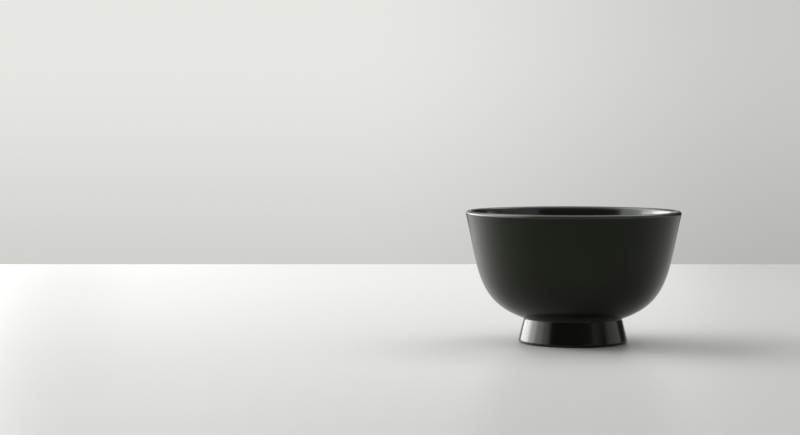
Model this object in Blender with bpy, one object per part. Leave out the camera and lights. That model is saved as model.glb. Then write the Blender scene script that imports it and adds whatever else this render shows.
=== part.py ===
# A lacquered rice bowl on a tall flared foot ring, built up the way a lacquer workshop builds one.
#
# Two turned wooden cores, the bowl and its foot ring, are glued together with a spigot in a socket.
# Hemp cloth is bonded over the places that crack or wear: the lip, the bottom of the bowl and the
# foot.  Each cloth lies in a shallow rebate of the wood.  Coats of lacquer cover everything.
#
# Metres, +Z up.  The origin is on the bowl's axis, on the surface that the bowl stands on.
# Every piece is turned about that axis, so every outline below is drawn in (radius, height).

import math

import bmesh
import bpy
from mathutils import Vector

# The finished bowl, outside
RIM_DIAMETER = 0.120
BOWL_HEIGHT = 0.0738
LIP_THICKNESS = 0.0031                  # the lip is a full round of this thickness
LIP_SLOPE = math.radians(12.6)          # outer wall from the vertical, just under the lip
FLARE_DEPTH = 0.0134                    # height of the slightly flared band under the lip
WALL_SLOPE = math.radians(10.9)         # outer wall from the vertical, where the belly starts
UPPER_BELLY_FULLNESS = 0.45             # how long the wall keeps its slope as it turns in
LOWER_BELLY_FULLNESS = 0.43             # how long the underside keeps its slope as it turns up
UNDERSIDE_SLOPE = math.radians(71.3)    # underside from the vertical, where it meets the foot

# The finished bowl, inside
HEEL_THICKNESS = 0.0066                 # of the wall where it stands over the foot's edge
BOTTOM_THICKNESS = 0.0065               # from the foot's well up to the middle of the inside
INNER_BOTTOM_FULLNESS = 0.40            # how flat the inner bottom stays around its middle

# The finished foot ring
FOOT_HEIGHT = 0.0138                    # up to the line where the bowl meets the foot
FOOT_TOP_DIAMETER = 0.0548
FOOT_BASE_DIAMETER = 0.0617
STANDING_WIDTH = 0.0046                 # thickness of the foot ring at its base
STANDING_ROUNDING = 0.0014              # radius of both edges of the standing ring
WELL_DEPTH = 0.0100                     # depth of the hollow under the bowl, inside the foot
WELL_DIAMETER = 0.0464                  # of that hollow, at its ceiling

# The layers
COAT = 0.00035                          # lacquer with the ground under it
CLOTH = 0.00025                         # hemp cloth
CLEARANCE = 0.0003                      # between any two pieces
RIM_CLOTH_REACH = 0.0115                # from the top of the lip down the wall, on either side
BOTTOM_CLOTH_RADIUS = 0.0240            # measured along the inner bottom
FOOT_CLOTH_TURN_UP = 0.0045             # from the standing ring up the inner side of the foot

# Finishes: colour, roughness, metallic
TURNED_WOOD = ((0.50, 0.31, 0.16), 0.60, 0.0)
HEMP_CLOTH = ((0.26, 0.17, 0.09), 0.85, 0.0)
SATIN_LACQUER = ((0.012, 0.013, 0.011), 0.34, 0.0)
GLOSS_LACQUER = ((0.010, 0.011, 0.009), 0.18, 0.0)

# How finely the pieces are turned
TURN_STEPS = 40                         # a multiple of 4, so that the full width is reached
BELLY_STEPS = 9
BOTTOM_STEPS = 3
FLARE_STEPS = 3
LIP_QUARTER_STEPS = 3
EDGE_STEPS = 3
SHARP_ANGLE = math.radians(35)
WELD_DISTANCE = 0.000001


# Outlines.  A station is a point of the finished surface and the direction from it into the
# material.  Every run of stations is walked with the material on its left.

def into_material(direction):
    return Vector((-direction.y, direction.x)).normalized()


def upward(slope):
    return Vector((math.sin(slope), math.cos(slope)))


def straight(start, end):
    inward = into_material(end - start)
    return [(start, inward), (end, inward)]


def round_edge(centre, radius, start_angle, end_angle, steps):
    stations = []
    for step in range(steps + 1):
        angle = start_angle + (end_angle - start_angle) * step / steps
        outward = Vector((math.cos(angle), math.sin(angle)))
        stations.append((centre + radius * outward, -outward))
    return stations


def free_curve(start, start_handle, end_handle, end, steps):
    stations = []
    for step in range(steps + 1):
        share = step / steps
        rest = 1 - share
        point = (start * rest**3 + start_handle * 3 * rest**2 * share
                 + end_handle * 3 * rest * share**2 + end * share**3)
        heading = ((start_handle - start) * rest**2 + (end_handle - start_handle) * 2 * rest * share
                   + (end - end_handle) * share**2)
        stations.append((point, into_material(heading)))
    return stations


def rounded_corner(before, corner, after, radius, steps):
    arriving = (corner - before).normalized()
    leaving = (after - corner).normalized()
    turn = math.acos(arriving.dot(leaving))
    centre = corner - arriving * radius * math.tan(turn / 2) + into_material(arriving) * radius
    outward = -into_material(arriving)
    start_angle = math.atan2(outward.y, outward.x)
    return round_edge(centre, radius, start_angle, start_angle + turn, steps)


def joined(*runs):
    stations = list(runs[0])
    for run in runs[1:]:
        meets = (run[0][0] - stations[-1][0]).length < WELD_DISTANCE
        stations.extend(run[1:] if meets else run)
    return stations


def run_length(stations):
    return sum((stations[i + 1][0] - stations[i][0]).length for i in range(len(stations) - 1))


def stretch(stations, begin, end):
    # The part of a run between two distances along it.
    kept = []
    travelled = 0.0
    for (point, inward), (next_point, next_inward) in zip(stations, stations[1:]):
        span = (next_point - point).length
        first = max(begin - travelled, 0.0)
        last = min(end - travelled, span)
        if last - first > WELD_DISTANCE:
            cuts = [(point.lerp(next_point, mark / span), inward.lerp(next_inward, mark / span).normalized())
                    for mark in (first, last)]
            kept.extend(cuts[1:] if kept else cuts)
        travelled += span
    return kept


def sunk(stations, depth):
    return [point + inward * depth for point, inward in stations]


def layer(stations, top_depth, bottom_depth):
    # Where the run ends on the axis, so does the outline, at both of its ends.
    return sunk(stations, bottom_depth)[::-1] + sunk(stations, top_depth)


# The finished surfaces

def lip():
    radius = LIP_THICKNESS / 2
    centre = Vector((RIM_DIAMETER / 2 - radius, BOWL_HEIGHT - radius))
    quarter = math.pi / 2
    return joined(round_edge(centre, radius, -LIP_SLOPE, 0.0, 1),
                  round_edge(centre, radius, 0.0, quarter, LIP_QUARTER_STEPS),
                  round_edge(centre, radius, quarter, 2 * quarter - LIP_SLOPE, LIP_QUARTER_STEPS))


def flare(lip_side):
    mean_slope = (LIP_SLOPE + WALL_SLOPE) / 2
    waist = lip_side - Vector((math.tan(mean_slope), 1.0)) * FLARE_DEPTH
    handle = FLARE_DEPTH / 3    # a third of the height bends evenly
    return free_curve(waist, waist + upward(WALL_SLOPE) * handle,
                      lip_side - upward(LIP_SLOPE) * handle, lip_side, FLARE_STEPS)


def belly(waist):
    joint = Vector((FOOT_TOP_DIAMETER / 2, FOOT_HEIGHT))
    reach = (waist - joint).length
    return free_curve(joint, joint + upward(UNDERSIDE_SLOPE) * reach * LOWER_BELLY_FULLNESS,
                      waist - upward(WALL_SLOPE) * reach * UPPER_BELLY_FULLNESS, waist, BELLY_STEPS)


def other_side(stations, start_thickness, end_thickness):
    # The far face of a wall, walked back from its end.  The thickness changes evenly between.
    last = len(stations) - 1
    thicknesses = [start_thickness + (end_thickness - start_thickness) * i / last for i in range(last + 1)]
    points = [point + inward * thickness for (point, inward), thickness in zip(stations, thicknesses)][::-1]
    headings = [points[min(i + 1, last)] - points[max(i - 1, 0)] for i in range(last + 1)]
    return [(point, into_material(heading)) for point, heading in zip(points, headings)]


def inner_bottom(heel):
    point, inward = heel
    heading = Vector((inward.y, -inward.x))
    middle = Vector((0.0, WELL_DEPTH + BOTTOM_THICKNESS))
    handle = point.x * INNER_BOTTOM_FULLNESS
    return free_curve(point, point + heading * handle, middle + Vector((handle, 0.0)), middle, BOTTOM_STEPS)


def foot_sides():
    # From the ceiling of the well, down the inner side, round the standing ring and up to the bowl.
    inner_top = Vector((WELL_DIAMETER / 2, WELL_DEPTH))
    inner_base = Vector((FOOT_BASE_DIAMETER / 2 - STANDING_WIDTH, 0.0))
    outer_base = Vector((FOOT_BASE_DIAMETER / 2, 0.0))
    outer_top = Vector((FOOT_TOP_DIAMETER / 2, FOOT_HEIGHT))
    inner_edge = rounded_corner(inner_top, inner_base, outer_base, STANDING_ROUNDING, EDGE_STEPS)
    outer_edge = rounded_corner(inner_base, outer_base, outer_top, STANDING_ROUNDING, EDGE_STEPS)
    return joined(straight(inner_top, inner_edge[0][0]), inner_edge, outer_edge,
                  straight(outer_edge[-1][0], outer_top))


# Solids

def add_material(mesh, finish):
    colour, roughness, metallic = finish
    material = bpy.data.materials.new(mesh.name)
    material.use_nodes = True
    shader = material.node_tree.nodes["Principled BSDF"]
    shader.inputs["Base Color"].default_value = (*colour, 1.0)
    shader.inputs["Roughness"].default_value = roughness
    shader.inputs["Metallic"].default_value = metallic
    mesh.materials.append(material)


def turn(name, outline, closed, finish, bowl):
    # A ring's outline is closed.  That of a piece with a solid middle begins and ends on the axis.
    shape = bmesh.new()
    corners = [shape.verts.new((point.x, 0.0, point.y)) for point in outline]
    links = list(zip(corners, corners[1:]))
    if closed:
        links.append((corners[-1], corners[0]))
    edges = [shape.edges.new(link) for link in links]
    bmesh.ops.spin(shape, geom=corners + edges, cent=(0, 0, 0), axis=(0, 0, 1),
                   angle=2 * math.pi, steps=TURN_STEPS, use_merge=True)
    bmesh.ops.remove_doubles(shape, verts=shape.verts, dist=WELD_DISTANCE)
    bmesh.ops.recalc_face_normals(shape, faces=shape.faces)
    mesh = bpy.data.meshes.new(name)
    shape.to_mesh(mesh)
    shape.free()
    mesh.shade_smooth()
    mesh.set_sharp_from_angle(angle=SHARP_ANGLE)
    add_material(mesh, finish)
    piece = bpy.data.objects.new(name, mesh)
    piece.parent = bowl
    bpy.context.scene.collection.objects.link(piece)


def build():
    for old in list(bpy.data.objects):
        bpy.data.objects.remove(old, do_unlink=True)
    bowl = bpy.data.objects.new("rice_bowl", None)
    bpy.context.scene.collection.objects.link(bowl)

    # The finished surfaces: from the foot up the wall, over the lip and down to the middle of the
    # inner bottom, and from the ceiling of the well round the foot
    lip_round = lip()
    outer_band = flare(lip_round[0][0])
    outer_belly = belly(outer_band[0][0])
    wall = joined(outer_belly, outer_band)
    inner_band = other_side(outer_band, LIP_THICKNESS, LIP_THICKNESS)
    inner_belly = other_side(outer_belly, HEEL_THICKNESS, LIP_THICKNESS)
    lip_and_inside = joined(lip_round, inner_band, inner_belly, inner_bottom(inner_belly[-1]))
    skin = joined(wall, lip_and_inside)
    foot = foot_sides()

    # Depths under the finished surface
    wood_depth = COAT + CLEARANCE
    rebate_depth = wood_depth + CLOTH + CLEARANCE

    # Distances along the bowl's surface
    highest = max(range(len(skin)), key=lambda index: skin[index][0].y)
    lip_top = run_length(skin[:highest + 1])
    rim_cloth_start = lip_top - RIM_CLOTH_REACH
    rim_cloth_end = lip_top + RIM_CLOTH_REACH
    bottom_middle = run_length(skin)
    bottom_cloth_start = bottom_middle - BOTTOM_CLOTH_RADIUS

    # Distances along the foot's surface
    foot_top = run_length(foot)
    foot_cloth_start = (foot[1][0] - foot[0][0]).length - FOOT_CLOTH_TURN_UP

    # The two wooden cores
    socket_radius = sunk(foot[:1], wood_depth)[0].x
    spigot_radius = socket_radius - CLEARANCE
    spigot_bottom = WELL_DEPTH + wood_depth
    shoulder = sunk(skin[:1], wood_depth)[0].y
    bowl_core = [Vector((0.0, spigot_bottom)), Vector((spigot_radius, spigot_bottom)),
                 Vector((spigot_radius, shoulder))]
    bowl_core += sunk(stretch(skin, 0.0, rim_cloth_start - CLEARANCE), wood_depth)
    bowl_core += sunk(stretch(skin, rim_cloth_start - CLEARANCE, rim_cloth_end + CLEARANCE), rebate_depth)
    bowl_core += sunk(stretch(skin, rim_cloth_end + CLEARANCE, bottom_cloth_start - CLEARANCE), wood_depth)
    bowl_core += sunk(stretch(skin, bottom_cloth_start - CLEARANCE, bottom_middle), rebate_depth)
    turn("bowl_core", bowl_core, False, TURNED_WOOD, bowl)

    foot_core_top = shoulder - CLEARANCE
    foot_core = [Vector((socket_radius, foot_core_top))]
    foot_core += sunk(stretch(foot, 0.0, foot_cloth_start - CLEARANCE), wood_depth)
    foot_core += sunk(stretch(foot, foot_cloth_start - CLEARANCE, foot_top), rebate_depth)
    foot_core += [Vector((foot_core[-1].x, foot_core_top))]
    turn("foot_core", foot_core, True, TURNED_WOOD, bowl)

    # The cloths
    cloth_bottom = wood_depth + CLOTH
    rim_cloth = layer(stretch(skin, rim_cloth_start, rim_cloth_end), wood_depth, cloth_bottom)
    turn("rim_cloth", rim_cloth, True, HEMP_CLOTH, bowl)
    bottom_cloth = layer(stretch(skin, bottom_cloth_start, bottom_middle), wood_depth, cloth_bottom)
    turn("bottom_cloth", bottom_cloth, False, HEMP_CLOTH, bowl)
    foot_cloth = layer(stretch(foot, foot_cloth_start, foot_top - CLEARANCE), wood_depth, cloth_bottom)
    turn("foot_cloth", foot_cloth, True, HEMP_CLOTH, bowl)

    # The lacquer: satin outside, glossier inside and on the foot
    outer_coat = layer(stretch(skin, 0.0, run_length(wall) - CLEARANCE), 0.0, COAT)
    turn("outer_coat", outer_coat, True, SATIN_LACQUER, bowl)
    inner_coat = layer(lip_and_inside, 0.0, COAT)
    turn("inner_coat", inner_coat, False, GLOSS_LACQUER, bowl)
    foot_coat = layer(stretch(foot, CLEARANCE, foot_top - CLEARANCE), 0.0, COAT)
    turn("foot_coat", foot_coat, True, GLOSS_LACQUER, bowl)
    well_ceiling = straight(Vector((0.0, WELL_DEPTH)), Vector((WELL_DIAMETER / 2, WELL_DEPTH)))
    well_coat = layer(well_ceiling[::-1], 0.0, COAT)
    turn("well_coat", well_coat, False, GLOSS_LACQUER, bowl)


build()
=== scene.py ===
# The looks of a lacquered rice bowl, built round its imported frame.  Metres, +Z up.

import math

import bpy
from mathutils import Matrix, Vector


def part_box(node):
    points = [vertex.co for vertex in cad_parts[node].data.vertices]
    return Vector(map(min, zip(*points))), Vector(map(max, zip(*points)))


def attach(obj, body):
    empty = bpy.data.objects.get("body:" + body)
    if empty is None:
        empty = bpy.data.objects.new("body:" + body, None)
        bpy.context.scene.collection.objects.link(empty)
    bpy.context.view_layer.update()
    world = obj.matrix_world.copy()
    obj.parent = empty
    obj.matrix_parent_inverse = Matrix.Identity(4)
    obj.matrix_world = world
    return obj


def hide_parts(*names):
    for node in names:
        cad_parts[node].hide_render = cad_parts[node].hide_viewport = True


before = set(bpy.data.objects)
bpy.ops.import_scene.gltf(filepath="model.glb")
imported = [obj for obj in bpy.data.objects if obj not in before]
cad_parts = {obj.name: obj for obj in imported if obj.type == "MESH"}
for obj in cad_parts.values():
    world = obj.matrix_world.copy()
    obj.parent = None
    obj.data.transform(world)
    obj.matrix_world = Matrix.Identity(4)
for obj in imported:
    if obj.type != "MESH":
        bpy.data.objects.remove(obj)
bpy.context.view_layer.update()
scene = bpy.context.scene
print("frame loaded:", len(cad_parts), "nodes")


# Every piece is turned, so all the outlines are drawn in (radius, height).  A station is a point of a
# finished surface and the direction from it into the material, which is on the left of the run.

def intoMaterial(heading):
    return Vector((-heading.y, heading.x)).normalized()


def upward(slope):
    # slope in degrees from the vertical
    return Vector((math.sin(math.radians(slope)), math.cos(math.radians(slope))))


def straight(start, end, steps=1):
    inward = intoMaterial(end - start)
    return [(start.lerp(end, step / steps), inward) for step in range(steps + 1)]


def roundEdge(centre, radius, startAngle, endAngle, steps):
    # convex, angles in degrees
    stations = []
    for step in range(steps + 1):
        angle = math.radians(startAngle + (endAngle - startAngle) * step / steps)
        outward = Vector((math.cos(angle), math.sin(angle)))
        stations.append((centre + radius * outward, -outward))
    return stations


def freeCurve(start, startHandle, endHandle, end, steps):
    stations = []
    for step in range(steps + 1):
        share = step / steps
        rest = 1 - share
        point = (start * rest**3 + startHandle * 3 * rest**2 * share
                 + endHandle * 3 * rest * share**2 + end * share**3)
        heading = ((startHandle - start) * rest**2 + (endHandle - startHandle) * 2 * rest * share
                   + (end - endHandle) * share**2)
        stations.append((point, intoMaterial(heading)))
    return stations


def roundedCorner(before, corner, after, radius, steps):
    # an arc in place of a corner, whether the corner stands out or is hollow
    arriving = (corner - before).normalized()
    leaving = (after - corner).normalized()
    turn = math.atan2(arriving.cross(leaving), arriving.dot(leaving))
    side = math.copysign(1.0, turn)
    begins = corner - arriving * radius * math.tan(abs(turn) / 2)
    centre = begins + intoMaterial(arriving) * radius * side
    outward = -intoMaterial(arriving) * side
    startAngle = math.atan2(outward.y, outward.x)
    stations = []
    for step in range(steps + 1):
        angle = startAngle + turn * step / steps
        spoke = Vector((math.cos(angle), math.sin(angle)))
        stations.append((centre + radius * spoke, -spoke * side))
    return stations


def joined(*runs):
    # runs one after another, with one station where two of them meet
    weld = 0.000001
    stations = list(runs[0])
    for run in runs[1:]:
        meets = (run[0][0] - stations[-1][0]).length < weld
        stations.extend(run[1:] if meets else run)
    return stations


def sunk(stations, depth):
    return [point + inward * depth for point, inward in stations]


def layer(stations, topDepth, bottomDepth):
    # the outline of one coat under a run; where the run meets the axis, it begins and ends there
    top = sunk(stations, topDepth)
    bottom = sunk(stations, bottomDepth)[::-1]
    startsOnAxis = stations[0][0].x == 0.0
    return top + bottom if startsOnAxis else bottom + top


def otherSide(stations, startThickness, endThickness):
    # the far face of a wall, walked back from its end; the thickness changes evenly
    last = len(stations) - 1
    points = []
    for index, (point, inward) in enumerate(stations):
        thickness = startThickness + (endThickness - startThickness) * index / last
        points.append(point + inward * thickness)
    points.reverse()
    headings = [points[min(index + 1, last)] - points[max(index - 1, 0)] for index in range(last + 1)]
    return [(point, intoMaterial(heading)) for point, heading in zip(points, headings)]


bowlShape = {
    "lipThickness": 0.0031,         # the lip is a full round
    "lipSlope": 12.6,               # degrees from the vertical, as all slopes here
    "flareDepth": 0.0134,
    "wallSlope": 10.9,
    "upperFullness": 0.45,
    "lowerFullness": 0.43,
    "undersideSlope": 71.3,
    "heelThickness": 0.0066,
    "bottomFullness": 0.40,
    "lipSteps": 10,                 # on each side of the lip's top
    "flareSteps": 12,
    "bellySteps": 56,
    "bottomSteps": 18,
}

# sizes that the frame's own pieces give; the joint's radius is that of the outer coat's lowest ring
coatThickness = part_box("well_coat")[1].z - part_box("well_coat")[0].z
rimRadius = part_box("inner_coat")[1].x
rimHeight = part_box("inner_coat")[1].z
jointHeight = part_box("outer_coat")[0].z         # where the bowl meets its foot
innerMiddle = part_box("inner_coat")[0].z + coatThickness
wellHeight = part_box("well_coat")[0].z
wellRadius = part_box("well_coat")[1].x
jointRadius = min(corner.co.xy.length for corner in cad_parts["outer_coat"].data.vertices
                  if corner.co.z < jointHeight + coatThickness / 10)


def bowlSurface(shape):
    # the wall from the foot up to the lip, and the way over the lip down to the inner middle
    lipRadius = shape["lipThickness"] / 2
    lipCentre = Vector((rimRadius - lipRadius, rimHeight - lipRadius))
    lip = roundEdge(lipCentre, lipRadius, -shape["lipSlope"], 90, shape["lipSteps"])
    lip += roundEdge(lipCentre, lipRadius, 90, 180 - shape["lipSlope"], shape["lipSteps"])[1:]

    meanSlope = math.radians((shape["lipSlope"] + shape["wallSlope"]) / 2)
    waist = lip[0][0] - Vector((math.tan(meanSlope), 1.0)) * shape["flareDepth"]
    handle = shape["flareDepth"] / 3
    flare = freeCurve(waist, waist + upward(shape["wallSlope"]) * handle,
                      lip[0][0] - upward(shape["lipSlope"]) * handle, lip[0][0], shape["flareSteps"])

    joint = Vector((jointRadius, jointHeight))
    reach = (waist - joint).length
    belly = freeCurve(joint, joint + upward(shape["undersideSlope"]) * reach * shape["lowerFullness"],
                      waist - upward(shape["wallSlope"]) * reach * shape["upperFullness"], waist,
                      shape["bellySteps"])

    innerFlare = otherSide(flare, shape["lipThickness"], shape["lipThickness"])
    innerBelly = otherSide(belly, shape["heelThickness"], shape["lipThickness"])
    heel, inward = innerBelly[-1]
    middle = Vector((0.0, innerMiddle))
    reachIn = heel.x * shape["bottomFullness"]
    bottom = freeCurve(heel, heel + Vector((inward.y, -inward.x)) * reachIn,
                       middle + Vector((reachIn, 0.0)), middle, shape["bottomSteps"])
    return joined(belly, flare), joined(lip, innerFlare, innerBelly, bottom)


footShape = {
    "baseRadius": 0.03085,          # where the slanted side would meet the table
    "standingWidth": 0.0046,
    "standingRounding": 0.0014,
    "jointFillet": 0.0004,          # lacquer gathers in the groove under the bowl
    "wellFillet": 0.0010,           # and round the ceiling of the well
    "edgeSteps": 8,
    "sideSteps": 16,
}


def footSurfaces(shape, wall):
    # the ceiling of the well with its hollow corner, then the way down the inner side, round the
    # standing ring and up to the bowl
    middle = Vector((0.0, wellHeight))
    innerTop = Vector((wellRadius, wellHeight))
    innerBase = Vector((shape["baseRadius"] - shape["standingWidth"], 0.0))
    outerBase = Vector((shape["baseRadius"], 0.0))
    joint = wall[0][0]
    steps = shape["edgeSteps"]
    hollow = roundedCorner(middle, innerTop, innerBase, shape["wellFillet"], steps)
    innerEdge = roundedCorner(innerTop, innerBase, outerBase, shape["standingRounding"], steps)
    outerEdge = roundedCorner(innerBase, outerBase, joint, shape["standingRounding"], steps)
    groove = roundedCorner(outerBase, joint, wall[1][0], shape["jointFillet"], steps)
    well = joined(straight(middle, hollow[0][0], shape["sideSteps"]), hollow)
    foot = joined(straight(hollow[-1][0], innerEdge[0][0], shape["sideSteps"]), innerEdge, outerEdge,
                  straight(outerEdge[-1][0], groove[0][0], shape["sideSteps"]), groove)
    return well, foot


def shortened(stations, fromStart, fromEnd):
    # a run without its first and last bit
    travelled = [0.0]
    for here, there in zip(stations, stations[1:]):
        travelled.append(travelled[-1] + (there[0] - here[0]).length)
    marks = [fromStart] + [mark for mark in travelled if fromStart < mark < travelled[-1] - fromEnd]
    marks.append(travelled[-1] - fromEnd)
    kept = []
    for mark in marks:
        index = max(i for i in range(len(stations) - 1) if travelled[i] <= mark)
        share = (mark - travelled[index]) / (travelled[index + 1] - travelled[index])
        kept.append((stations[index][0].lerp(stations[index + 1][0], share),
                     stations[index][1].lerp(stations[index + 1][1], share).normalized()))
    return kept


def nodeOutline(node):
    # the outline that a node was turned from, in order; it is the node's cut along +X
    inPlane = 0.0000005
    digits = 7                      # corners that agree to a tenth of a micrometre are one
    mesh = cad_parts[node].data
    places = [(round(corner.co.x, digits), round(corner.co.z, digits)) for corner in mesh.vertices]
    cut = [abs(corner.co.y) < inPlane and corner.co.x > -inPlane for corner in mesh.vertices]
    beside = {}
    for edge in mesh.edges:
        first, second = edge.vertices
        here, there = places[first], places[second]
        if cut[first] and cut[second] and here != there:
            beside.setdefault(here, set()).add(there)
            beside.setdefault(there, set()).add(here)
    ends = sorted(place for place in beside if len(beside[place]) == 1)
    at = ends[0] if ends else min(beside)
    walk = [at]
    while True:
        onward = sorted(place for place in beside[at] if place not in walk)
        if not onward:
            break
        at = onward[0]
        walk.append(at)
    outline = [Vector(place) for place in walk]
    if ends and outline[0].x > 0.0:             # a flat disc has no corner in its middle
        outline.insert(0, Vector((0.0, outline[0].y)))
    if ends and outline[-1].x > 0.0:
        outline.append(Vector((0.0, outline[-1].y)))
    loops = zip(outline, outline[1:] + outline[:1])
    area = sum(here.cross(there) for here, there in loops)
    if area < 0:
        outline.reverse()
    return outline, not ends


def refined(outline, closed, steps):
    # a smooth curve through the outline's points, which keeps its corners
    cornerAngle = 28                # degrees; an outline that turns by more has a corner there
    sharp = math.cos(math.radians(cornerAngle))
    count = len(outline)
    smooth = []
    for index in range(count):
        if not closed and index in (0, count - 1):
            smooth.append(False)
            continue
        arriving = (outline[index] - outline[index - 1]).normalized()
        leaving = (outline[(index + 1) % count] - outline[index]).normalized()
        smooth.append(arriving.dot(leaving) > sharp)
    finer = []
    for index in range(count if closed else count - 1):
        after = (index + 1) % count
        start, end = outline[index], outline[after]
        span = (end - start).length
        chord = (end - start).normalized()
        leaving = (end - outline[index - 1]).normalized() if smooth[index] else chord
        arriving = (outline[(after + 1) % count] - start).normalized() if smooth[after] else chord
        bends = smooth[index] or smooth[after]
        pieces = freeCurve(start, start + leaving * span / 3, end - arriving * span / 3, end,
                           steps if bends else 1)
        finer += [station[0] for station in pieces[:-1]]
    if not closed:
        finer.append(outline[-1])
    return finer


def turnPiece(name, outline, closed, segments):
    # a ring's outline is closed; that of a piece with a solid middle begins and ends on the axis
    onAxis = 0.0000001
    creaseAngle = 40                # degrees; edges that bend by more are shaded sharp
    corners = []
    rings = []
    for point in outline:
        if point.x < onAxis:
            rings.append([len(corners)])
            corners.append((0.0, 0.0, point.y))
            continue
        first = len(corners)
        rings.append(list(range(first, first + segments)))
        for segment in range(segments):
            angle = 2 * math.pi * segment / segments
            corners.append((point.x * math.cos(angle), point.x * math.sin(angle), point.y))
    pairs = list(zip(rings, rings[1:]))
    if closed:
        pairs.append((rings[-1], rings[0]))
    faces = []
    for lower, upper in pairs:
        for segment in range(segments):
            after = (segment + 1) % segments
            if len(lower) == 1 and len(upper) == 1:
                break
            if len(lower) == 1:
                faces.append((lower[0], upper[after], upper[segment]))
            elif len(upper) == 1:
                faces.append((lower[segment], lower[after], upper[0]))
            else:
                faces.append((lower[segment], lower[after], upper[after], upper[segment]))
    mesh = bpy.data.meshes.new(name)
    mesh.from_pydata(corners, [], faces)
    mesh.shade_smooth()
    mesh.set_sharp_from_angle(angle=math.radians(creaseAngle))
    piece = bpy.data.objects.new(name, mesh)
    scene.collection.objects.link(piece)
    return piece


def placePiece(piece, material, node):
    piece.data.materials.append(material)
    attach(piece, "root")
    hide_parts(node)


# Short ways to add nodes to a shader's tree.  A value is a number, a colour or another node's socket.

def feed(tree, socket, value):
    if isinstance(value, bpy.types.NodeSocket):
        tree.links.new(value, socket)
    else:
        socket.default_value = value


def calc(tree, operation, *values):
    node = tree.nodes.new("ShaderNodeMath")
    node.operation = operation
    for socket, value in zip(node.inputs, values):
        feed(tree, socket, value)
    return node.outputs[0]


def mapRange(tree, value, fromLow, fromHigh, toLow, toHigh, smooth=False):
    node = tree.nodes.new("ShaderNodeMapRange")
    node.interpolation_type = "SMOOTHSTEP" if smooth else "LINEAR"
    for socket, given in zip(node.inputs, (value, fromLow, fromHigh, toLow, toHigh)):
        feed(tree, socket, given)
    return node.outputs[0]


def combine(tree, x, y, z):
    node = tree.nodes.new("ShaderNodeCombineXYZ")
    for socket, value in zip(node.inputs, (x, y, z)):
        feed(tree, socket, value)
    return node.outputs[0]


def noise(tree, vector, scale, detail, w=None):
    node = tree.nodes.new("ShaderNodeTexNoise")
    if w is not None:
        node.noise_dimensions = "4D"
        feed(tree, node.inputs["W"], w)
    feed(tree, node.inputs["Vector"], vector)
    feed(tree, node.inputs["Scale"], scale)
    feed(tree, node.inputs["Detail"], detail)
    return node.outputs["Fac"]


def mixColours(tree, share, first, second):
    node = tree.nodes.new("ShaderNodeMix")
    node.data_type = "RGBA"
    feed(tree, node.inputs[0], share)
    feed(tree, node.inputs[6], first)
    feed(tree, node.inputs[7], second)
    return node.outputs[2]


def aroundAxis(tree):
    # where a point is, measured from the bowl's axis; circleX and circleY give its direction
    smallest = 0.0001               # nothing is divided by less, even on the axis
    position = tree.nodes.new("ShaderNodeTexCoord").outputs["Object"]
    parts = tree.nodes.new("ShaderNodeSeparateXYZ")
    tree.links.new(position, parts.inputs[0])
    x, y, height = parts.outputs
    square = calc(tree, "ADD", calc(tree, "MULTIPLY", x, x), calc(tree, "MULTIPLY", y, y))
    radius = calc(tree, "SQRT", square)
    safeRadius = calc(tree, "MAXIMUM", radius, smallest)
    return {
        "position": position,
        "radius": radius,
        "height": height,
        "circleX": calc(tree, "DIVIDE", x, safeRadius),
        "circleY": calc(tree, "DIVIDE", y, safeRadius),
    }


def newGroup(name, inputs, outputs):
    group = bpy.data.node_groups.new(name, "ShaderNodeTree")
    for label, value in inputs.items():
        socket = group.interface.new_socket(name=label, in_out="INPUT", socket_type="NodeSocketFloat")
        socket.default_value = value
    for label in outputs:
        group.interface.new_socket(name=label, in_out="OUTPUT", socket_type="NodeSocketFloat")
    return group, group.nodes.new("NodeGroupInput").outputs, group.nodes.new("NodeGroupOutput").inputs


def useGroup(tree, group, **values):
    node = tree.nodes.new("ShaderNodeGroup")
    node.node_tree = group
    for label, value in values.items():
        feed(tree, node.inputs[label], value)
    return node.outputs


def makeBrushMarks():
    # shallow ridges that run round the bowl, as a brush leaves them on a piece that turns
    group, given, result = newGroup("brushMarks", {"Spacing": 0.0006, "Drift": 3.0}, ["Height"])
    place = aroundAxis(group)
    across = combine(group, calc(group, "DIVIDE", place["radius"], given["Spacing"]),
                     calc(group, "MULTIPLY", place["circleX"], given["Drift"]),
                     calc(group, "MULTIPLY", place["circleY"], given["Drift"]))
    upwards = calc(group, "DIVIDE", place["height"], given["Spacing"])
    feed(group, result["Height"], noise(group, across, scale=1.0, detail=3.0, w=upwards))
    return group


def makeDustNibs():
    # specks that settled in the wet lacquer
    group, given, result = newGroup("dustNibs", {"Spacing": 0.004, "Size": 0.0001, "Share": 0.4},
                                    ["Height"])
    position = group.nodes.new("ShaderNodeTexCoord").outputs["Object"]
    cells = group.nodes.new("ShaderNodeTexVoronoi")
    feed(group, cells.inputs["Vector"], position)
    feed(group, cells.inputs["Scale"], calc(group, "DIVIDE", 1.0, given["Spacing"]))
    size = calc(group, "DIVIDE", given["Size"], given["Spacing"])
    speck = mapRange(group, cells.outputs["Distance"], 0.0, size, 1.0, 0.0, smooth=True)
    picked = calc(group, "LESS_THAN", cells.outputs["Color"], given["Share"])
    feed(group, result["Height"], calc(group, "MULTIPLY", speck, picked))
    return group


def makeMottle():
    # slow, cloudy variation
    group, given, result = newGroup("mottle", {"Size": 0.02, "Detail": 3.0}, ["Value"])
    clear, dense = 0.3, 0.7         # of the noise, which seldom goes past them
    position = group.nodes.new("ShaderNodeTexCoord").outputs["Object"]
    cloud = noise(group, position, calc(group, "DIVIDE", 1.0, given["Size"]), given["Detail"])
    feed(group, result["Value"], mapRange(group, cloud, clear, dense, 0.0, 1.0, smooth=True))
    return group


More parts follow.
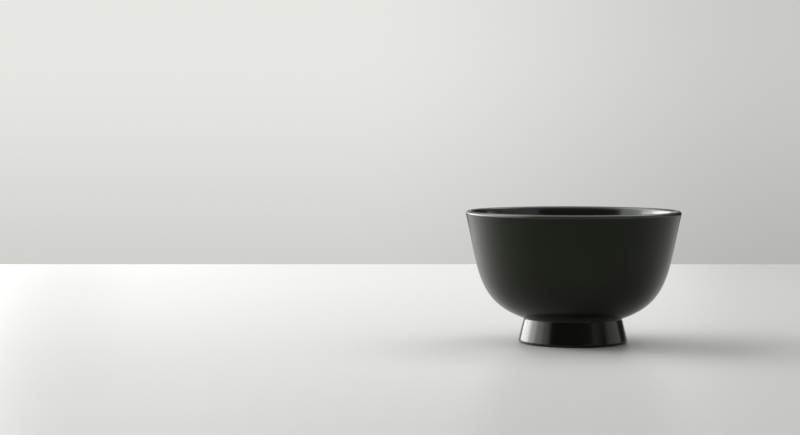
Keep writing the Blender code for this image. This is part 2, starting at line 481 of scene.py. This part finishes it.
def makeEdgeWear():
    # rubbed places within reach of one height, broken up by noise
    group, given, result = newGroup("edgeWear", {"Height": 0.0, "Reach": 0.001, "Grain": 0.002},
                                    ["Mask"])
    whole, bare = 0.95, 1.45        # nearness and noise together, where wear begins and where it is full
    place = aroundAxis(group)
    away = calc(group, "ABSOLUTE", calc(group, "SUBTRACT", place["height"], given["Height"]))
    near = mapRange(group, away, 0.0, given["Reach"], 1.0, 0.0, smooth=True)
    broken = noise(group, place["position"], calc(group, "DIVIDE", 1.0, given["Grain"]), detail=4.0)
    ragged = mapRange(group, calc(group, "ADD", near, broken), whole, bare, 0.0, 1.0, smooth=True)
    feed(group, result["Mask"], calc(group, "MULTIPLY", ragged, near))
    return group


def makeWoodGrain():
    # year rings of a plank that lies flat, with fibres along X and open pores
    group, given, result = newGroup("woodGrain", {"Ring": 0.0028, "Wander": 0.016},
                                    ["Ring", "Fibre", "Pore"])
    heart = 0.085                   # the tree's heart runs this far under the bowl
    lateFrom, lateTo = 0.45, 0.95   # of a ring's width, over which its dark late wood comes up
    wanderScale = 14.0              # all scales are per metre
    fibreLong, fibreFine = 60.0, 1400.0     # along the plank and across it
    poreLong, poreFine = 250.0, 3000.0
    shallow, deep = 0.66, 0.74      # of the noise, where a pore begins and where it is full
    position = group.nodes.new("ShaderNodeTexCoord").outputs["Object"]
    parts = group.nodes.new("ShaderNodeSeparateXYZ")
    group.links.new(position, parts.inputs[0])
    x, y, height = parts.outputs
    down = calc(group, "ADD", height, heart)
    square = calc(group, "ADD", calc(group, "MULTIPLY", y, y), calc(group, "MULTIPLY", down, down))
    sway = calc(group, "SUBTRACT", noise(group, position, wanderScale, detail=2.0), 0.5)
    swayed = calc(group, "MULTIPLY", sway, given["Wander"])
    ringRadius = calc(group, "ADD", calc(group, "SQRT", square), swayed)
    phase = calc(group, "FRACT", calc(group, "DIVIDE", ringRadius, given["Ring"]))
    late = mapRange(group, phase, lateFrom, lateTo, 0.0, 1.0, smooth=True)
    ended = mapRange(group, phase, lateTo, 1.0, 1.0, 0.0)
    feed(group, result["Ring"], calc(group, "MULTIPLY", late, ended))
    stretched = []
    for along, fine in ((fibreLong, fibreFine), (poreLong, poreFine)):
        stretched.append(combine(group, calc(group, "MULTIPLY", x, along),
                                 calc(group, "MULTIPLY", y, fine), calc(group, "MULTIPLY", height, fine)))
    feed(group, result["Fibre"], noise(group, stretched[0], scale=1.0, detail=3.0))
    hollow = noise(group, stretched[1], scale=1.0, detail=1.0)
    feed(group, result["Pore"], mapRange(group, hollow, shallow, deep, 0.0, 1.0, smooth=True))
    return group


def makeHempWeave():
    # plain weave, over one and under one; Along and Across are metres on the cloth
    group, given, result = newGroup("hempWeave", {"Along": 0.0, "Across": 0.0, "Thread": 0.0007},
                                    ["Height", "Shade"])
    slubScale, slubShare = 900.0, 0.35      # thick and thin places in the thread
    wobbleScale, wobbleShare = 160.0, 0.9   # threads that don't run quite straight
    position = group.nodes.new("ShaderNodeTexCoord").outputs["Object"]
    slub = noise(group, position, slubScale, detail=3.0)
    sway = calc(group, "SUBTRACT", noise(group, position, wobbleScale, detail=2.0), 0.5)
    wobble = calc(group, "MULTIPLY", sway, wobbleShare)
    turns = []
    for label in ("Along", "Across"):
        turns.append(calc(group, "ADD", calc(group, "DIVIDE", given[label], given["Thread"]), wobble))
    warp, weft = [calc(group, "ABSOLUTE", calc(group, "SINE", calc(group, "MULTIPLY", turn, math.pi)))
                  for turn in turns]
    crossings = calc(group, "ADD", calc(group, "FLOOR", turns[0]), calc(group, "FLOOR", turns[1]))
    checker = calc(group, "FLOORED_MODULO", crossings, 2.0)
    over = calc(group, "MULTIPLY", checker, warp)
    under = calc(group, "MULTIPLY", calc(group, "SUBTRACT", 1.0, checker), weft)
    threads = calc(group, "ADD", over, under)
    feed(group, result["Height"], calc(group, "ADD", threads, calc(group, "MULTIPLY", slub, slubShare)))
    # Shade is painted shade of the weave: darkest where threads dip and meet, lightest on their crowns
    # and thick places
    feed(group, result["Shade"], calc(group, "MULTIPLY", threads, slub))
    return group


brushMarks = makeBrushMarks()
dustNibs = makeDustNibs()
mottle = makeMottle()
edgeWear = makeEdgeWear()
woodGrain = makeWoodGrain()
hempWeave = makeHempWeave()
print("shared effects made")


def newMaterial(name):
    material = bpy.data.materials.new(name)
    material.use_nodes = True
    return material, material.node_tree, material.node_tree.nodes["Principled BSDF"]


def bumpChain(tree, heights):
    # heights is a list of (height, distance in metres); each bump rests on the one before
    normal = None
    for height, distance in heights:
        bump = tree.nodes.new("ShaderNodeBump")
        bump.inputs["Strength"].default_value = 1.0
        bump.inputs["Distance"].default_value = distance
        feed(tree, bump.inputs["Height"], height)
        if normal is not None:
            tree.links.new(normal, bump.inputs["Normal"])
        normal = bump.outputs["Normal"]
    return normal


def makeLacquer(name, look):
    material, tree, shader = newMaterial(name)
    cloud = useGroup(tree, mottle, Size=look["cloudSize"])["Value"]
    marks = useGroup(tree, brushMarks, Spacing=look["markSpacing"], Drift=look["markDrift"])["Height"]
    wide = useGroup(tree, brushMarks, Spacing=look["wideSpacing"], Drift=look["wideDrift"])["Height"]
    nibs = useGroup(tree, dustNibs, Spacing=look["nibSpacing"], Size=look["nibSize"])["Height"]
    worn = useGroup(tree, edgeWear, Height=look["wearHeight"], Reach=look["wearReach"])["Mask"]

    colour = mixColours(tree, cloud, (*look["colour"], 1.0), (*look["cloudColour"], 1.0))
    rubbed = calc(tree, "MULTIPLY", worn, look["wearShare"])
    feed(tree, shader.inputs["Base Color"], mixColours(tree, rubbed, colour, (*look["wornColour"], 1.0)))

    rough = mapRange(tree, cloud, 0.0, 1.0, look["roughness"] - look["roughnessSpread"],
                     look["roughness"] + look["roughnessSpread"])
    lipRadius = bowlShape["lipThickness"] / 2
    dullFrom = rimHeight - look["dullFrom"] * lipRadius
    dullTo = rimHeight - look["dullTo"] * lipRadius
    onLip = mapRange(tree, aroundAxis(tree)["height"], dullFrom, dullTo, 0.0, 1.0, smooth=True)
    for mask, added in ((marks, "markRoughness"), (worn, "wornRoughness"), (onLip, "lipDullness")):
        rough = calc(tree, "ADD", rough, calc(tree, "MULTIPLY", mask, look[added]))
    feed(tree, shader.inputs["Roughness"], rough)

    shader.inputs["IOR"].default_value = look["refraction"]
    shader.inputs["Specular IOR Level"].default_value = look["gloss"]
    shader.inputs["Specular Tint"].default_value = (*look["glossTint"], 1.0)
    shader.inputs["Sheen Weight"].default_value = look["bloom"]
    shader.inputs["Sheen Roughness"].default_value = look["bloomRoughness"]
    shader.inputs["Sheen Tint"].default_value = (*look["bloomTint"], 1.0)
    feed(tree, shader.inputs["Normal"], bumpChain(tree, [
        (wide, look["wideDepth"]), (marks, look["markDepth"]), (nibs, look["nibHeight"])]))
    return material


outerLook = {
    "colour": (0.0010, 0.0012, 0.0005),
    "cloudColour": (0.0016, 0.0019, 0.0009),
    "cloudSize": 0.022,
    "roughness": 0.22,
    "roughnessSpread": 0.015,
    "refraction": 1.45,
    "gloss": 0.30,
    "glossTint": (0.92, 1.0, 0.78),
    "bloom": 0.1,                   # the soft glow that a burnished satin has at a low angle
    "bloomRoughness": 0.35,
    "bloomTint": (0.95, 1.0, 0.88),
    "lipDullness": 0.0,             # roughness that handling adds to the lip
    "dullFrom": 1.6,                # it begins so many lip radii under the rim
    "dullTo": 0.6,                  # and is full so many under it
    "markSpacing": 0.00045,
    "markDrift": 2.0,
    "markDepth": 0.0000015,
    "markRoughness": 0.03,
    "wideSpacing": 0.006,
    "wideDrift": 1.2,
    "wideDepth": 0.00002,
    "nibSpacing": 0.005,
    "nibSize": 0.00009,
    "nibHeight": 0.00001,
    "wearHeight": rimHeight,
    "wearReach": 0.0016,
    "wearShare": 0.25,
    "wornColour": (0.030, 0.022, 0.014),
    "wornRoughness": 0.08,
}

innerLook = {
    **outerLook,
    "colour": (0.0016, 0.0018, 0.0015),
    "cloudColour": (0.0024, 0.0027, 0.0022),
    "roughness": 0.14,
    "roughnessSpread": 0.01,
    "refraction": 1.5,
    "gloss": 1.0,
    "glossTint": (0.96, 1.0, 0.92),
    "bloom": 0.0,
    "lipDullness": 0.20,
    "markRoughness": 0.01,
    "markDepth": 0.000001,
    "wideSpacing": 0.009,
    "wearReach": 0.0008,
    "wearShare": 0.35,
}

footLook = {
    **innerLook,
    "roughness": 0.18,
    "gloss": 0.5,
    "lipDullness": 0.0,
    "markSpacing": 0.0007,
    "wearHeight": 0.0,
    "wearReach": 0.0007,
    "wearShare": 0.8,
    "wornColour": (0.060, 0.042, 0.026),
    "wornRoughness": 0.2,
}

woodLook = {
    "early": (0.50, 0.31, 0.16),
    "late": (0.30, 0.165, 0.075),
    "pore": (0.14, 0.075, 0.035),
    "fibreRange": (0.3, 0.7),       # of the noise in the fibres, from pale to dark
    "fibreShare": 0.35,
    "roughness": 0.58,
    "fibreSmoother": 0.06,
    "fibreRougher": 0.10,
    "ringDepth": 0.00001,
    "fibreDepth": 0.00002,
    "poreDepth": 0.00006,
    "toolSpacing": 0.0009,          # of the ridges that the turning tool left
    "toolDrift": 0.5,
}


def makeWood(name, look):
    material, tree, shader = newMaterial(name)
    grain = useGroup(tree, woodGrain)
    colour = mixColours(tree, grain["Ring"], (*look["early"], 1.0), (*look["late"], 1.0))
    shade = mapRange(tree, grain["Fibre"], *look["fibreRange"], 0.0, look["fibreShare"])
    colour = mixColours(tree, shade, colour, (*look["late"], 1.0))
    colour = mixColours(tree, grain["Pore"], colour, (*look["pore"], 1.0))
    feed(tree, shader.inputs["Base Color"], colour)
    rough = mapRange(tree, grain["Fibre"], 0.0, 1.0, look["roughness"] - look["fibreSmoother"],
                     look["roughness"] + look["fibreRougher"])
    feed(tree, shader.inputs["Roughness"], rough)
    unpitted = calc(tree, "SUBTRACT", 1.0, grain["Pore"])
    ridges = useGroup(tree, brushMarks, Spacing=look["toolSpacing"], Drift=look["toolDrift"])["Height"]
    feed(tree, shader.inputs["Normal"], bumpChain(tree, [
        (grain["Ring"], look["ringDepth"]), (grain["Fibre"], look["fibreDepth"]),
        (unpitted, look["poreDepth"]), (ridges, look["fibreDepth"])]))
    return material


clothLook = {
    "thread": (0.30, 0.20, 0.11),
    # the dark colour is painted shade between threads, and also the colour that the stains take
    "shadeAndStain": (0.10, 0.062, 0.034),
    "threadWidth": 0.0007,
    "weaveDepth": 0.00012,
    "stainSize": 0.006,
    "stainShare": 0.3,
    "roughness": 0.84,              # threads a little less, gaps a little more
    "roughnessSpread": 0.1,
    "threadTop": 1.2,               # the height that the weave reaches on its thickest threads
}


def makeCloth(name, look, wrapRadius):
    # wrapRadius is None for a cloth that lies flat; a strip is measured round that radius
    material, tree, shader = newMaterial(name)
    place = aroundAxis(tree)
    if wrapRadius is None:
        along = calc(tree, "MULTIPLY", place["radius"], place["circleX"])
        across = calc(tree, "MULTIPLY", place["radius"], place["circleY"])
    else:
        around = calc(tree, "ARCTAN2", place["circleY"], place["circleX"])
        along = calc(tree, "MULTIPLY", around, wrapRadius)
        across = place["height"]
    weave = useGroup(tree, hempWeave, Along=along, Across=across, Thread=look["threadWidth"])
    stain = useGroup(tree, mottle, Size=look["stainSize"])["Value"]
    stained = mapRange(tree, stain, 0.0, 1.0, 0.0, look["stainShare"])
    # painted shade: the thread colour darkens to the dark colour where threads dip and meet; the stains
    # below are real
    colour = mixColours(tree, weave["Shade"], (*look["shadeAndStain"], 1.0), (*look["thread"], 1.0))
    feed(tree, shader.inputs["Base Color"], mixColours(tree, stained, colour, (*look["shadeAndStain"], 1.0)))
    rough = mapRange(tree, weave["Height"], 0.0, look["threadTop"],
                     look["roughness"] + look["roughnessSpread"],
                     look["roughness"] - look["roughnessSpread"])
    feed(tree, shader.inputs["Roughness"], rough)
    feed(tree, shader.inputs["Normal"], bumpChain(tree, [(weave["Height"], look["weaveDepth"])]))
    return material


turning = {
    "lacquerSegments": 240,
    "coreSegments": 120,
    "coreSteps": 3,                 # between two points of a core's outline
    "seam": 0.00002,                # left between two coats that meet
}

wall, lipAndInside = bowlSurface(bowlShape)
well, foot = footSurfaces(footShape, wall)
grooveEnd = (foot[-1][0] - wall[0][0]).length

outerLacquer = makeLacquer("satinLacquer", outerLook)
innerLacquer = makeLacquer("innerLacquer", innerLook)
footLacquer = makeLacquer("footLacquer", footLook)

coats = [
    # name, surface, closed, material, the node it stands for, slot
    ("outer_lacquer", shortened(wall, grooveEnd + turning["seam"], turning["seam"]), True,
     outerLacquer, "outer_coat", "outer_lacquer"),
    ("inner_lacquer", lipAndInside, False, innerLacquer, "inner_coat", "inner_lacquer"),
    ("foot_lacquer", shortened(foot, turning["seam"], 0.0), True,
     footLacquer, "foot_coat", "foot_lacquer"),
    ("well_lacquer", well, False, footLacquer, "well_coat", "foot_lacquer"),
]
for name, surface, closed, material, node, slotName in coats:
    outline = layer(surface, 0.0, coatThickness)
    piece = turnPiece(name, outline, closed, turning["lacquerSegments"])
    placePiece(piece, material, node)

wood = makeWood("turnedWood", woodLook)
cores = [
    ("bowl_wood", wood, "bowl_core", "wood"),
    ("foot_wood", wood, "foot_core", "wood"),
    ("rim_hemp", makeCloth("rimHemp", clothLook, rimRadius), "rim_cloth", "cloth"),
    ("foot_hemp", makeCloth("footHemp", clothLook, jointRadius), "foot_cloth", "cloth"),
    ("bottom_hemp", makeCloth("bottomHemp", clothLook, None), "bottom_cloth", "cloth"),
]
for name, material, node, slotName in cores:
    outline, closed = nodeOutline(node)
    finer = refined(outline, closed, turning["coreSteps"])
    piece = turnPiece(name, finer, closed, turning["coreSegments"])
    placePiece(piece, material, node)
print("pieces turned and painted:", len(coats) + len(cores))


tableSettings = {
    "backEdge": 0.62,               # behind the bowl's axis
    "frontEdge": -1.25,
    "sideEdge": 1.25,
    "turn": 5.05,                   # degrees; the back edge is square to the view
    "edgeRounding": 0.004,
    "edgeSteps": 6,
    "thickness": 0.03,
    "colour": (0.605, 0.608, 0.595),
    "palerBy": 1.02,                # in cloudy patches
    "cloudSize": 0.3,
    "roughness": 0.44,
}


def makeTable(table):
    material, tree, shader = newMaterial("paleTable")
    cloud = useGroup(tree, mottle, Size=table["cloudSize"])["Value"]
    paler = tuple(channel * table["palerBy"] for channel in table["colour"])
    colour = mixColours(tree, cloud, (*table["colour"], 1.0), (*paler, 1.0))
    feed(tree, shader.inputs["Base Color"], colour)
    shader.inputs["Roughness"].default_value = table["roughness"]
    front = Vector((table["frontEdge"], 0.0))
    back = Vector((table["backEdge"], 0.0))
    frontUnder = Vector((table["frontEdge"], -table["thickness"]))
    backUnder = Vector((table["backEdge"], -table["thickness"]))
    rounding = roundedCorner(front, back, backUnder, table["edgeRounding"], table["edgeSteps"])
    outline = [frontUnder, front, *sunk(rounding, 0.0), backUnder]
    corners = []
    for side in (-table["sideEdge"], table["sideEdge"]):
        corners += [(side, point.x, point.y) for point in outline]
    count = len(outline)
    faces = [tuple(range(count)), tuple(range(2 * count - 1, count - 1, -1))]
    for index in range(count):
        after = (index + 1) % count
        faces.append((index, index + count, after + count, after))
    mesh = bpy.data.meshes.new("table")
    mesh.from_pydata(corners, [], faces)
    mesh.materials.append(material)
    top = bpy.data.objects.new("table", mesh)
    top.rotation_euler.z = math.radians(table["turn"])
    scene.collection.objects.link(top)


roomSettings = {
    # painted light on the wall behind the table, seen only by the camera; it falls softly left to right
    # and top to bottom
    "leftAzimuth": -7.0,
    "rightAzimuth": 7.0,
    "leftBrightness": 0.80,
    "rightBrightness": 0.585,
    "lowElevation": -7.0,
    "highElevation": 2.5,
    "lowShare": 0.73,
    "tint": (0.995, 1.005, 0.96),
    # what lights the bowl instead: even light from all round, which rises to the ceiling's
    "roomLight": 0.04,
    "ceilingLight": 0.66,
    "ceilingStarts": 15.0,          # elevations, in degrees
    "ceilingFull": 60.0,
}


def makeRoom(room):
    world = bpy.data.worlds.new("paleRoom")
    world.use_nodes = True
    tree = world.node_tree
    tree.nodes.clear()
    direction = tree.nodes.new("ShaderNodeTexCoord").outputs["Generated"]
    parts = tree.nodes.new("ShaderNodeSeparateXYZ")
    tree.links.new(direction, parts.inputs[0])
    x, y, z = parts.outputs
    azimuth = calc(tree, "DEGREES", calc(tree, "ARCTAN2", x, y))
    elevation = calc(tree, "DEGREES", calc(tree, "ARCSINE", z))
    across = mapRange(tree, azimuth, room["leftAzimuth"], room["rightAzimuth"],
                      room["leftBrightness"], room["rightBrightness"], smooth=True)
    down = mapRange(tree, elevation, room["lowElevation"], room["highElevation"],
                    room["lowShare"], 1.0, smooth=True)
    ceiling = mapRange(tree, elevation, room["ceilingStarts"], room["ceilingFull"],
                       room["roomLight"], room["ceilingLight"], smooth=True)
    # camera rays see the painted light of the wall; all other rays see the room and ceiling light
    choice = tree.nodes.new("ShaderNodeMixShader")
    for socket, strength in ((choice.inputs[1], ceiling),
                             (choice.inputs[2], calc(tree, "MULTIPLY", across, down))):
        background = tree.nodes.new("ShaderNodeBackground")
        background.inputs["Color"].default_value = (*room["tint"], 1.0)
        feed(tree, background.inputs["Strength"], strength)
        tree.links.new(background.outputs[0], socket)
    tree.links.new(tree.nodes.new("ShaderNodeLightPath").outputs["Is Camera Ray"], choice.inputs[0])
    tree.links.new(choice.outputs[0], tree.nodes.new("ShaderNodeOutputWorld").inputs["Surface"])
    scene.world = world


lightSettings = {
    "distance": 1.35,               # of every softbox from the middle of the bowl's foot
    "bankElevation": 11,
    "bankWidth": 0.44,
    "bankHeight": 0.42,
    # a bank of softboxes round the left side, azimuth: radiance; 0 is behind the bowl, 90 to its right
    "bank": {-118: 1.2, -99: 2.5, -80: 4.9, -61: 8.4, -42: 6.4},
    # the others: name, azimuth, elevation, width, height, radiance
    "boxes": [
        ("upperLeft", -75, 31, 0.66, 0.5, 4.0),
        ("upperFront", -105, 31, 0.66, 0.5, 1.5),
        ("highLeft", -68, 52, 1.5, 0.6, 2.4),
        ("lowBack", -9, 11, 0.74, 0.26, 1.4),
        ("lowRight", 80, 10, 1.1, 0.3, 0.65),
        ("lowFront", 135, 10, 1.0, 0.3, 0.3),
        ("upperRight", 110, 27, 1.2, 0.4, 0.3),
        ("highRight", 45, 50, 0.9, 0.5, 2.6),
        ("overhead", 0, 88, 0.9, 0.9, 0.6),
    ],
}


def hangSoftbox(distance, name, azimuth, elevation, width, height, radiance):
    area = bpy.data.lights.new(name, "AREA")
    area.shape = "RECTANGLE"
    area.size = width
    area.size_y = height
    area.energy = radiance * math.pi * width * height
    light = bpy.data.objects.new(name, area)
    across = math.radians(azimuth)
    up = math.radians(elevation)
    away = Vector((math.sin(across) * math.cos(up), math.cos(across) * math.cos(up), math.sin(up)))
    light.location = away * distance
    light.rotation_mode = "QUATERNION"
    light.rotation_quaternion = away.to_track_quat("Z", "Y")
    light.visible_camera = False
    scene.collection.objects.link(light)


def hangLights(lights):
    for number, (azimuth, radiance) in enumerate(lights["bank"].items(), 1):
        hangSoftbox(lights["distance"], "keyBank%d" % number, azimuth, lights["bankElevation"],
                    lights["bankWidth"], lights["bankHeight"], radiance)
    for box in lights["boxes"]:
        hangSoftbox(lights["distance"], *box)


cameraSettings = {
    "distance": 1.10,               # from the bowl's axis
    "height": 0.1216,
    "lookDown": 2.70,               # degrees
    "lookLeft": 5.05,
    "lens": 88.3,                   # millimetres, as is the sensor
    "sensorWidth": 36.0,
}


def placeCamera(camera):
    data = bpy.data.cameras.new("camera")
    data.lens = camera["lens"]
    data.sensor_width = camera["sensorWidth"]
    viewer = bpy.data.objects.new("camera", data)
    viewer.location = (0.0, -camera["distance"], camera["height"])
    viewer.rotation_euler = (math.radians(90 - camera["lookDown"]), 0.0, math.radians(camera["lookLeft"]))
    scene.collection.objects.link(viewer)
    scene.camera = viewer


makeTable(tableSettings)
makeRoom(roomSettings)
hangLights(lightSettings)
placeCamera(cameraSettings)
scene.view_settings.view_transform = "Standard"
print("stage, light and camera set")
